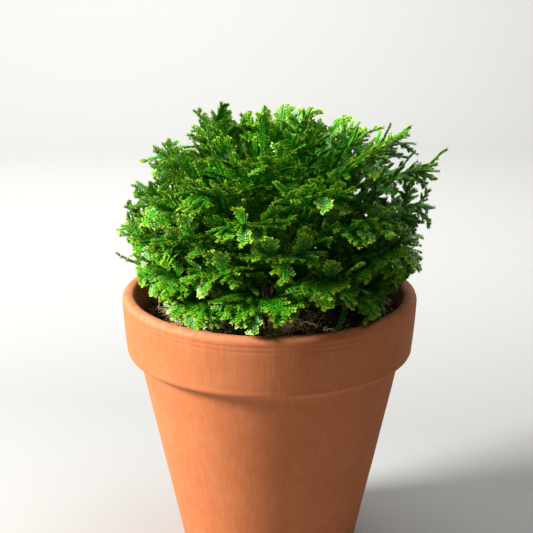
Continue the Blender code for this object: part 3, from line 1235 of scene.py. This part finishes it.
@dataclass(frozen=True)
class LeafShape:
    """A row's scale leaves: ovate blades folded along the midrib, each with its base at the origin.

    The waist lists points down one side, as shares of half the width and of the length. Spread is the angle
    from the branchlet in degrees, and closing is what it loses at the growing tip. Lift tips a leaf up,
    offset sets it off the branchlet's axis and twist turns its face to the side.
    """

    length: float
    width: float
    waist: tuple[tuple[float, float], ...]
    fold: float
    spread: float
    closing: float
    lift: float
    offset: float
    twist: float

    def points(self) -> Array:
        """The blade's outline.

        Returns:
            Its points with X across it, Y along it and Z up.
        """
        half = self.width / 2
        drop = self.fold * self.width
        right = [(half * wide, self.length * along, -drop * wide) for wide, along in self.waist]
        left = [(-x, y, z) for x, y, z in reversed(right)]
        return np.array([(0.0, 0.0, 0.0), *right, (0.0, self.length, 0.0), *left])

    def faces(self) -> Array:
        """Its triangles, facing up, which meet along the midrib."""
        return np.array([(0, step, step + 1) for step in range(1, 2 * len(self.waist) + 1)])


@dataclass(frozen=True)
class LeafAging:
    """How leaves vary with chance and with their distance from the growing tip."""

    young_length: float = 0.0017
    young_lift: float = 0.28
    smallest_loss: float = 0.25
    small_length: float = 0.0010
    sizes: Range = (0.85, 1.15)
    spread_waver: float = 4
    lift_waver: float = 0.05
    vigour_and_light_waver: float = 0.22
    set_back: float = 0.0001
    pale_least: float = 0.45
    pale_gain: float = 0.85
    pale_base: float = 0.6


@dataclass(frozen=True)
class SprayRule:
    """How a spray forks, with places as shares of its axis and turns in degrees."""

    first_fork: float = 0.15
    forked_share: float = 0.70
    turn: Range = (36, 50)
    waver: float = 0.09
    longest: float = 0.0078
    loss: float = 0.0036
    lengths: Range = (0.85, 1.15)
    leaf_scale: float = 0.95
    stout_base: float = 0.25
    stout_gain: float = 0.75
    stout_length: float = 0.018
    stoutest: float = 1.15


@dataclass(frozen=True)
class FanRule:
    """How small fans tip out of their frond's layer, with tilts in radians and leans in degrees."""

    forks: int = 5
    length: Range = (0.0095, 0.0135)
    tilt: Range = (0.45, 1.15)
    low_loss: float = 0.65
    crown_angle: float = math.radians(24.0)
    crown_scale: float = 0.72
    upright_share: float = 0.5
    upright_tilt: Range = (0.75, 1.25)
    hanging_tilt: Range = (0.2, 0.7)
    upright_scale: float = 0.9
    lean_from: float = 30
    lean_over: float = 25
    rib_places: tuple = (0.40, 0.58, 0.76, 0.92)
    rib_turn: Range = (-0.6, 0.6)
    lobe_place: float = 0.45
    lobe_turn: Range = (0.2, 0.8)


@dataclass(frozen=True)
class EndRule:
    """How the branchlets at the end of a frond's rib fork, with turns in radians."""

    count: int = 7
    back: float = 0.4
    first: float = 0.04
    step: float = 0.13
    turn: Range = (0.55, 0.80)
    waver: float = 0.2
    longest: float = 0.0076
    loss: float = 0.0045


@dataclass
class Branchlet:
    """One branchlet in a frond's flat plan.

    Its heading is counted from the frond's rib, its slope lifts it out of the plan, and lift is how far out
    of the plan it starts.
    """

    start: tuple[float, float]
    heading: float
    length: float
    slope: float = 0.0
    roll: float = 0.0
    scale: float = 1.0
    lift: float = 0.0


@dataclass
class Frond:
    """One frond: its stem, its sprays of branchlets and their scale leaves."""

    layers: Layers
    index: int
    # Its outline in the flat plan, as the CAD frond has it.
    half_width: float = 0.0205
    stem_half_width: float = 0.0009
    leafy_share: float = 0.66
    leafy_shortest: float = 0.036
    leafy_longest: float = 0.060
    lobed_share: float = 0.80
    lobe_half_width: float = 0.0034
    lobe_fill: float = 0.46
    lobe_stagger: float = 0.35
    lowest_lobe_angle: float = 62.0
    lobe_angle_loss: float = 24.0
    lobe_swell: tuple = (0.72, 1.0, 1.0, 0.84, 0.60)
    # Its lobes and its bare stem.
    lobe_start: tuple = (0.4, 0.7)
    lobe_lengths: Range = (0.95, 1.02)
    lobe_tilt: tuple = (0.03, 0.10)
    lobe_forks: int = 7
    bare_share: float = 0.45
    # Its place, as the CAD frond draws it, in degrees.
    place_waver: float = 1.0
    azimuth_waver: float = 2.0
    sizes: Range = (0.92, 1.06)
    low_from: float = 64
    low_over: float = 18
    seed_step: int = 1000
    first_chance: int = 900
    # Its leaf nodes, and the shade and the bluish sheen painted on their leaves.
    node_step: float = 0.00128
    fewest_nodes: int = 3
    roll_waver: float = 0.12
    curl: float = 9.0
    longest_curled: float = 0.03
    nudge: float = 0.0004
    shade_edge: float = 0.34
    shade_depth: float = 0.46
    shade_waver: float = 0.12
    sheen_gain: float = 0.6
    sheen_loss: float = 0.35
    sag: float = 0.0035
    # Where the pot's rim holds it back.
    rim_height: float = 0.148
    rim_fade: float = 0.010
    rim_radius: float = 0.056
    rim_pull: float = 0.65
    # Its stem.
    stem_radii: Range = (0.00060, 0.00022)
    stem_steps: int = 34
    stem_sides: int = 6
    stem_sunk: float = 0.6
    stem_short: float = 0.001
    # How its branchlets fork and how its leaves sit.
    sprays: SprayRule = SprayRule()
    fans: FanRule = FanRule()
    end: EndRule = EndRule()
    aging: LeafAging = LeafAging()
    side_leaf: LeafShape = LeafShape(
        length=0.00236,
        width=0.00166,
        waist=((0.95, 0.28), (0.78, 0.70)),
        fold=0.16,
        spread=46,
        closing=20,
        lift=0.07,
        offset=0.0001,
        twist=0.30,
    )
    flat_leaf: LeafShape = LeafShape(
        length=0.00190,
        width=0.00115,
        waist=((1.0, 0.40),),
        fold=0.3,
        spread=18,
        closing=6,
        lift=0.13,
        offset=0.0003,
        twist=-0.20,
    )

    def __post_init__(self) -> None:
        """Draws the frond's place and lean, in the same order as the CAD frond's."""
        layers, waver = self.layers, self.place_waver
        draw = random.Random(layers.seed * self.seed_step + self.index)
        share = (self.index + 0.5) / layers.fronds
        spiral = math.acos(1 - share * (1 - math.cos(layers.lowest)))
        room = min(1.0, spiral / layers.roomy)
        self.name = f"frond_{self.index + 1:02d}"
        self.tip_angle = spiral + room * math.radians(draw.uniform(-waver, waver))
        self.azimuth = layers.first_azimuth + self.index * layers.golden_angle
        self.azimuth += math.radians(draw.uniform(-self.azimuth_waver, self.azimuth_waver))
        self.tilt = room * math.radians(draw.uniform(-layers.most_tilt, layers.most_tilt))
        self.cup = room * math.radians(draw.uniform(layers.least_cup, layers.most_cup))
        self.size = draw.uniform(*self.sizes)
        self.rib, self.rise = layers.ribs(np.array([self.tip_angle]), np.array([self.azimuth]))
        self.length = float(np.linalg.norm(np.diff(self.rib[0], axis=0), axis=-1).sum())
        self.leafy = min(self.leafy_longest, max(self.leafy_shortest, self.leafy_share * self.length))
        tip_radius, tip_height = self.rib[0, -1]
        self.low = min(1.0, max(0.0, (math.degrees(self.tip_angle) - self.low_from) / self.low_over))
        self.reach = math.hypot(tip_radius, tip_height - layers.crown_height)
        self.chance = np.random.default_rng(self.first_chance + self.index)

    def lay(self, across: Array, along: Array) -> Array:
        """Lays points of the flat plan on the frond's own layer.

        Args:
            across: how far each lies from the rib, (n,).
            along: how far up the rib, (n,).

        Returns:
            The points in space, (n, 3).
        """
        share = np.maximum(0.0, along / self.length)
        aside = across / self.half_width
        tip_angle = self.tip_angle + share * (self.tilt * aside + self.cup * aside * aside)
        count = len(across)
        rib, stem = np.repeat(self.rib, count, axis=0), np.repeat(self.rise, count, axis=0)
        own = self.layers.along(rib, stem, along)
        azimuth = self.azimuth + across / own[:, 0]
        points, rise = self.layers.ribs(tip_angle, azimuth)
        total = np.linalg.norm(np.diff(points, axis=1), axis=-1).sum(axis=1)
        flat = self.layers.along(points, rise, np.where(along < 0, along, share * total))
        in_front = max(0.0, -math.sin(self.azimuth)) ** 2
        height = flat[:, 1] - self.sag * self.low * in_front * share * share
        return np.stack([flat[:, 0] * np.cos(azimuth), flat[:, 0] * np.sin(azimuth), height], axis=-1)

    def branchlets(self) -> list[Branchlet]:
        """Lists the frond's branchlets.

        Returns:
            Every branchlet, in the flat plan.
        """
        leafy_from = self.length - self.leafy
        spacing = self.leafy * self.lobed_share / len(self.lobe_swell)
        bare = leafy_from * self.bare_share
        found = [Branchlet((0.0, bare), 0.0, self.length - bare)]
        for pair in range(len(self.lobe_swell)):
            found += self.lobes(pair, leafy_from, spacing)
        for share in self.fans.rib_places:
            origin = np.array([0.0, leafy_from + share * self.leafy, 0.0])
            found += self.fan(origin, self.chance.uniform(*self.fans.rib_turn))
        return found + self.rib_end(leafy_from + (len(self.lobe_swell) - self.end.back) * spacing)

    def lobes(self, pair: int, leafy_from: float, spacing: float) -> list[Branchlet]:
        """A pair of lobes, one at each side of the rib: a spray each, with a fan on it.

        Args:
            pair: which pair, counted from the stem.
            leafy_from: where the leafy part starts.
            spacing: the distance from pair to pair.

        Returns:
            Their branchlets.
        """
        draw = self.chance
        aside, ahead = self.lobe_start
        degrees = self.lowest_lobe_angle - self.lobe_angle_loss * pair / (len(self.lobe_swell) - 1)
        angle = math.radians(degrees)
        length = self.half_width * self.size * self.lobe_swell[pair] / math.sin(angle)
        half = min(self.lobe_half_width, self.lobe_fill * spacing * math.sin(angle))
        found = []
        for side in (1, -1):
            base = leafy_from + (pair + (self.lobe_stagger if side < 0 else 0.0)) * spacing
            start = np.array([side * self.stem_half_width * aside, base + half * ahead, 0.0])
            length *= draw.uniform(*self.lobe_lengths)
            tilt = draw.normal(*self.lobe_tilt)
            found += self.spray(start, side * angle, length, tilt, self.lobe_forks)
            if pair or not self.low:
                way = np.array([side * math.sin(angle), math.cos(angle), tilt])
                middle = start + self.fans.lobe_place * length * way
                found += self.fan(middle, side * angle * draw.uniform(*self.fans.lobe_turn))
        return found

    def rib_end(self, start: float) -> list[Branchlet]:
        """The branchlets at the rib's end, to its right and left in turn.

        Args:
            start: where on the rib they start.

        Returns:
            The branchlets.
        """
        draw, rule = self.chance, self.end
        room = self.length - start
        face = np.array([0.0, 0.0, 1.0])
        found = []
        for number in range(rule.count):
            turn = (1 if number % 2 else -1) * draw.uniform(*rule.turn)
            share = rule.first + rule.step * number
            ahead = np.array([math.sin(turn), math.cos(turn), rule.waver * draw.normal()])
            origin = np.array([0.0, start + room * share, 0.0])
            found.append(self.twig(origin, ahead, face, rule.longest - rule.loss * share))
        return found

    def fan(self, origin: Array, heading: float) -> list[Branchlet]:
        """A small fan tipped out of the frond's layer.

        Most arch outwards, away from the middle of the plant. The crown's tip either way, and some of the
        others stand up where their frond leans far out.

        Args:
            origin: where it starts in the plan, (across, along, up).
            heading: its heading from the rib.

        Returns:
            Its branchlets.
        """
        draw, rule = self.chance, self.fans
        tilt = -draw.uniform(*rule.tilt) * (1 - rule.low_loss * self.low)
        length = draw.uniform(*rule.length)
        if self.tip_angle < rule.crown_angle:
            length *= rule.crown_scale
            tilt *= draw.choice((-1.0, 1.0))
        elif draw.uniform() < rule.upright_share * (1 - self.low):
            lean = min(1.0, max(0.0, (math.degrees(self.tip_angle) - rule.lean_from) / rule.lean_over))
            tilt = lean * draw.uniform(*rule.upright_tilt) - (1 - lean) * draw.uniform(*rule.hanging_tilt)
            length *= rule.upright_scale
        return self.spray(origin, heading, length, tilt, rule.forks)

    def spray(self, origin: Array, heading: float, length: float, tilt: float, forks: int) -> list[Branchlet]:
        """A flat spray: its axis and the branchlets that fork from it on both sides, in one plane.

        Args:
            origin: where it starts in the plan, (across, along, up).
            heading: its heading from the rib.
            length: its length.
            tilt: how far it tips up out of the plan.
            forks: how many branchlets it has.

        Returns:
            Its branchlets.
        """
        draw, rule = self.chance, self.sprays
        sin_heading, cos_heading = math.sin(heading), math.cos(heading)
        sin_tilt, cos_tilt = math.sin(tilt), math.cos(tilt)
        axis = np.array([sin_heading * cos_tilt, cos_heading * cos_tilt, sin_tilt])
        side = np.array([cos_heading, -sin_heading, 0.0])
        face = np.array([-sin_tilt * sin_heading, -sin_tilt * cos_heading, cos_tilt])
        found = [self.twig(origin, axis, face, length)]
        stout = min(rule.stoutest, rule.stout_base + rule.stout_gain * length / rule.stout_length)
        for number in range(forks):
            share = rule.first_fork + rule.forked_share * number / (forks - 1)
            turn = (1 if number % 2 else -1) * math.radians(draw.uniform(*rule.turn))
            ahead = math.cos(turn) * axis + math.sin(turn) * side + rule.waver * draw.normal() * face
            reach = (rule.longest - rule.loss * share) * draw.uniform(*rule.lengths) * stout
            found.append(self.twig(origin + length * share * axis, ahead, face, reach, rule.leaf_scale))
        return found

    def twig(self, origin: Array, ahead: Array, face: Array, length: float, scale: float = 1.0) -> Branchlet:
        """A branchlet that starts at a point of the plan and faces a given way.

        Args:
            origin: where it starts, (across, along, up).
            ahead: its direction.
            face: the way its upper side looks.
            length: its length.
            scale: the size of its leaves.

        Returns:
            The branchlet.
        """
        heading = math.atan2(ahead[0], ahead[1])
        slope = ahead[2] / math.hypot(ahead[0], ahead[1])
        across = math.cos(heading) * face[0] - math.sin(heading) * face[1]
        roll = math.atan2(-across, face[2]) + self.roll_waver * self.chance.normal()
        return Branchlet((origin[0], origin[1]), heading, length, slope, roll, scale, origin[2])

    def nodes(self) -> Array:
        """The leaf nodes of all the branchlets, in the flat plan.

        Returns:
            Per node: across, along, lift, heading, slope, roll, distance to the tip, scale and tone.
        """
        draw = self.chance
        found = []
        for twig in self.branchlets():
            count = max(self.fewest_nodes, int(twig.length / self.node_step))
            at = (np.arange(count) + 0.5) / count * twig.length
            flat = at / math.hypot(1.0, twig.slope)
            curl = draw.normal() * self.curl if twig.length < self.longest_curled else 0.0
            values = (
                twig.start[0] + flat * math.sin(twig.heading),
                twig.start[1] + flat * math.cos(twig.heading),
                twig.lift + twig.slope * flat - curl * flat * flat,
                twig.heading,
                twig.slope - 2 * curl * flat,
                twig.roll,
                twig.length - at,
                twig.scale,
                draw.normal(),
            )
            found.append(np.stack([np.broadcast_to(value, (count,)) for value in values]))
        return np.concatenate(found, axis=1)

    def axes(self) -> Axes:
        """Lays the leaf nodes in space.

        Returns:
            The nodes, ready to take leaves.
        """
        out, up_rib, lift, heading, slope, roll, to_tip, scale, tone = self.nodes()
        across = unit(self.lay(out + self.nudge, up_rib) - self.lay(out - self.nudge, up_rib))
        along = unit(self.lay(out, up_rib + self.nudge) - self.lay(out, up_rib - self.nudge))
        normal = unit(np.cross(along, across))
        aside = np.cos(heading)[:, None] * across - np.sin(heading)[:, None] * along
        level = np.sin(heading)[:, None] * across + np.cos(heading)[:, None] * along
        ahead = unit(level + slope[:, None] * normal)
        side = unit(np.cos(roll)[:, None] * aside + np.sin(roll)[:, None] * normal)
        up = unit(np.cross(ahead, side))
        side = unit(np.cross(up, ahead))
        spot = self.tuck(self.lay(out, up_rib) + lift[:, None] * normal)
        crown = np.array([0.0, 0.0, self.layers.crown_height])
        outness = np.linalg.norm(spot - crown, axis=-1) / self.reach
        # Leaves further in are darker: older leaves, and painted shade inside the plant.
        vigour = np.clip((outness - self.shade_edge) / self.shade_depth + self.shade_waver * tone, 0.0, 1.0)
        # Some branchlets get a painted bluish sheen.
        bloom = np.clip(self.sheen_gain * tone - self.sheen_loss, 0.0, 1.0)
        return Axes(spot, ahead, side, up, to_tip, scale, vigour, bloom)

    def tuck(self, spot: Array) -> Array:
        """Draws in what hangs over the pot's rim at the sides, as foliage that the rim holds back.

        Args:
            spot: points of the frond, (n, 3).

        Returns:
            The points where they end up.
        """
        radius = np.maximum(np.hypot(spot[:, 0], spot[:, 1]), TINY)
        near = np.clip((self.rim_height + self.rim_fade - spot[:, 2]) / self.rim_fade, 0.0, 1.0)
        aside = (spot[:, 0] / radius) ** 2
        over = np.maximum(0.0, radius - self.rim_radius)
        share = 1 - self.rim_pull * near * aside * over / radius
        return spot * np.stack([share, share, np.ones(len(spot))], axis=-1)

    def leaves(self, stock: MeshStock, axes: Axes, row: LeafRow, side: float) -> None:
        """Adds one row of leaves to the branchlets.

        Args:
            stock: where the leaves go.
            axes: the nodes that carry them.
            row: which row.
            side: 1 for the leaves to the right of the axis, -1 for those to the left.
        """
        draw, aging, count = self.chance, self.aging, len(axes.place)
        shape = self.side_leaf if row is LeafRow.SIDE else self.flat_leaf
        face_up = -axes.up if row is LeafRow.UNDER else axes.up
        young = np.exp(-axes.to_tip / aging.young_length)
        degrees = shape.spread - shape.closing * young + aging.spread_waver * draw.normal(size=count)
        spread = np.radians(degrees)[:, None]
        lift = shape.lift + aging.young_lift * young + aging.lift_waver * draw.normal(size=count)
        forward = unit(
            np.cos(spread) * axes.ahead + side * np.sin(spread) * axes.side + lift[:, None] * face_up
        )
        face = unit(face_up - (face_up * forward).sum(axis=1)[:, None] * forward)
        face = unit(face + side * shape.twist * axes.side)
        wide = unit(np.cross(forward, face))
        face = np.cross(wide, forward)
        smaller = 1 - aging.smallest_loss * np.exp(-axes.to_tip / aging.small_length)
        size = axes.scale * smaller * draw.uniform(*aging.sizes, size=count)
        local = shape.points()
        base = axes.place + shape.offset * face_up - aging.set_back * forward
        scaled = size[:, None, None] * local[None]
        points = (
            base[:, None]
            + scaled[..., :1] * wide[:, None]
            + scaled[..., 1:2] * forward[:, None]
            + scaled[..., 2:] * face[:, None]
        )
        faces = (np.arange(count)[:, None, None] * len(local) + shape.faces()[None]).reshape(-1, 3)
        # rise runs from each leaf's base to its tip; the leaf material paints shade at the base along it.
        rise = np.broadcast_to(local[None, :, 1] / shape.length, (count, len(local)))
        pale = (young * (aging.pale_least + aging.pale_gain * axes.vigour))[:, None]
        youth = pale * (aging.pale_base + (1 - aging.pale_base) * rise)
        vigour = np.clip(axes.vigour + aging.vigour_and_light_waver * draw.normal(size=count), 0, 1)
        stock.add(
            points.reshape(-1, 3),
            faces,
            youth=np.minimum(youth, 1.0).ravel(),
            rise=rise.ravel(),
            vigour=np.repeat(vigour, len(local)),
            bloom=np.repeat(axes.bloom, len(local)),
        )

    def stem(self, stock: MeshStock) -> None:
        """Adds the stem.

        Args:
            stock: where it goes.
        """
        low, high = -self.stem_sunk * self.layers.stem_buried, self.length - self.stem_short
        along = np.linspace(low, high, self.stem_steps)
        path = self.tuck(self.lay(np.zeros(len(along)), along))
        stock.add(*tube(path, np.linspace(*self.stem_radii, len(path)), self.stem_sides), slot=1)

    def build(self, finishes: Finishes) -> None:
        """Makes the frond and puts it in place of its CAD node.

        Args:
            finishes: the object's finishes.
        """
        stock = MeshStock()
        axes = self.axes()
        for row, side in product(LeafRow, (1.0, -1.0)):
            self.leaves(stock, axes, row, side)
        self.stem(stock)
        seat(stock.make(f"leafy_{self.name}", [finishes.leaf, finishes.stem]), Slot.LEAF, self.name)


@dataclass
class Spikemoss:
    """The whole plant."""

    layers: Layers

    def build(self, finishes: Finishes) -> None:
        """Makes every frond."""
        for index in range(self.layers.fronds):
            Frond(self.layers, index).build(finishes)


# Studio


@dataclass(frozen=True)
class Lamp:
    """A soft square lamp: where it stands, what it faces, its side, its power in watts and its colour."""

    name: str
    place: tuple[float, float, float]
    aim: tuple[float, float, float]
    size: float
    power: float
    colour: Colour

    def build(self) -> None:
        """Sets it up."""
        data = bpy.data.lights.new(self.name, "AREA")
        data.size = self.size
        data.energy = self.power
        data.color = self.colour
        lamp = bpy.data.objects.new(self.name, data)
        lamp.location = self.place
        towards = Vector(self.aim) - Vector(self.place)
        lamp.rotation_euler = towards.to_track_quat("-Z", "Y").to_euler()
        bpy.context.scene.collection.objects.link(lamp)


@dataclass
class Studio:
    """The camera, the plain backdrop and the soft lights."""

    rim_height: float = 0.138
    image_pixels: float = 533.0
    focal_pixels: float = 1500.0
    sensor_mm: float = 36.0
    stand_back: float = 0.7041
    above_rim: float = 0.2304
    aside: float = -0.00147
    pitch_down: float = 0.301
    clip_start: float = 0.01
    floor_colour: Colour = (0.35, 0.35, 0.34)
    floor_roughness: float = 0.9
    bend_radius: float = 0.5
    bend_steps: int = 24
    wall_distance: float = 1.4
    wall_height: float = 3.0
    floor_reach: float = 4.0
    half_width: float = 4.0
    lamps: tuple = (
        Lamp("window", (-1.0, -0.22, 0.72), (0.0, 0.0, 0.14), 0.34, 41.0, (1.0, 0.99, 0.98)),
        Lamp("ceiling", (0.15, 0.20, 1.25), (0.0, 0.0, 0.14), 0.9, 12.0, (0.97, 0.99, 1.0)),
        Lamp("wall_wash", (-0.2, 0.35, 1.0), (0.0, 1.4, 0.85), 0.9, 28.0, (1.0, 1.0, 1.0)),
    )
    fill_colour: Colour = (1.0, 0.90, 0.76)
    fill_strength: float = 0.09
    seen_colour: Colour = (0.95, 0.97, 1.0)
    seen_gain: float = 0.75

    def camera(self) -> None:
        """The camera at the photograph's viewing angle."""
        data = bpy.data.cameras.new("view")
        data.sensor_width = self.sensor_mm
        data.lens = self.focal_pixels / self.image_pixels * self.sensor_mm
        data.clip_start = self.clip_start
        camera = bpy.data.objects.new("view", data)
        camera.location = (self.aside, -self.stand_back, self.rim_height + self.above_rim)
        camera.rotation_euler = (math.pi / 2 - self.pitch_down, 0.0, 0.0)
        bpy.context.scene.collection.objects.link(camera)
        bpy.context.scene.camera = camera

    def backdrop(self) -> None:
        """A pale floor that curves up into a plain wall behind."""
        material, sheet, shader = blank_material("pale_backdrop")
        sheet.feed(shader, "Base Color", rgba(self.floor_colour))
        sheet.feed(shader, "Roughness", self.floor_roughness)
        radius, back = self.bend_radius, self.wall_distance
        turns = np.linspace(0, math.pi / 2, self.bend_steps)
        bend = [(back - radius + radius * math.sin(a), radius - radius * math.cos(a)) for a in turns]
        line = [(-self.floor_reach, 0.0), *bend, (back, self.wall_height)]
        points = np.array([(x, y, z) for x in (-self.half_width, self.half_width) for y, z in line])
        low = np.arange(len(line) - 1)
        high = low + len(line)
        faces = np.concatenate([np.stack([low, high, high + 1], -1), np.stack([low, high + 1, low + 1], -1)])
        stock = MeshStock()
        stock.add(points, faces)
        stock.make("backdrop", [material])

    def light(self) -> None:
        """Daylight from a window at the left, weaker light from above and on the wall, and a dim, warm fill.

        The fill's surround looks pale where the camera sees it.
        """
        for lamp in self.lamps:
            lamp.build()
        world = bpy.data.worlds.new("sky")
        world.use_nodes = True
        sheet = NodeSheet(world.node_tree)
        background = world.node_tree.nodes["Background"]
        seen = sheet.add("ShaderNodeLightPath").outputs["Is Camera Ray"]
        gain = sheet.maths("MULTIPLY", seen, self.seen_gain)
        sheet.feed(background, "Color", sheet.mix(seen, rgba(self.fill_colour), rgba(self.seen_colour)))
        sheet.feed(background, "Strength", sheet.maths("ADD", gain, self.fill_strength))
        bpy.context.scene.world = world
        bpy.context.scene.view_settings.view_transform = "Standard"

    def build(self) -> None:
        """Sets up the camera, the backdrop and the lights."""
        self.camera()
        self.backdrop()
        self.light()


def main() -> None:
    """Builds the potted plant round the CAD frame."""
    logging.basicConfig(level=logging.INFO, format="%(message)s")
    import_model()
    Studio().build()
    finishes = Finishes()
    pot = TerracottaPot()
    pot.build(finishes)
    soil = PottingSoil(pot)
    soil.build(finishes)
    Spikemoss(Layers(soil)).build(finishes)
    pieces = [piece for piece in bpy.data.objects if piece.type == "MESH" and not piece.hide_render]
    LOG.info("faces in all: %d", sum(len(piece.data.polygons) for piece in pieces))


if __name__ == "__main__":
    main()
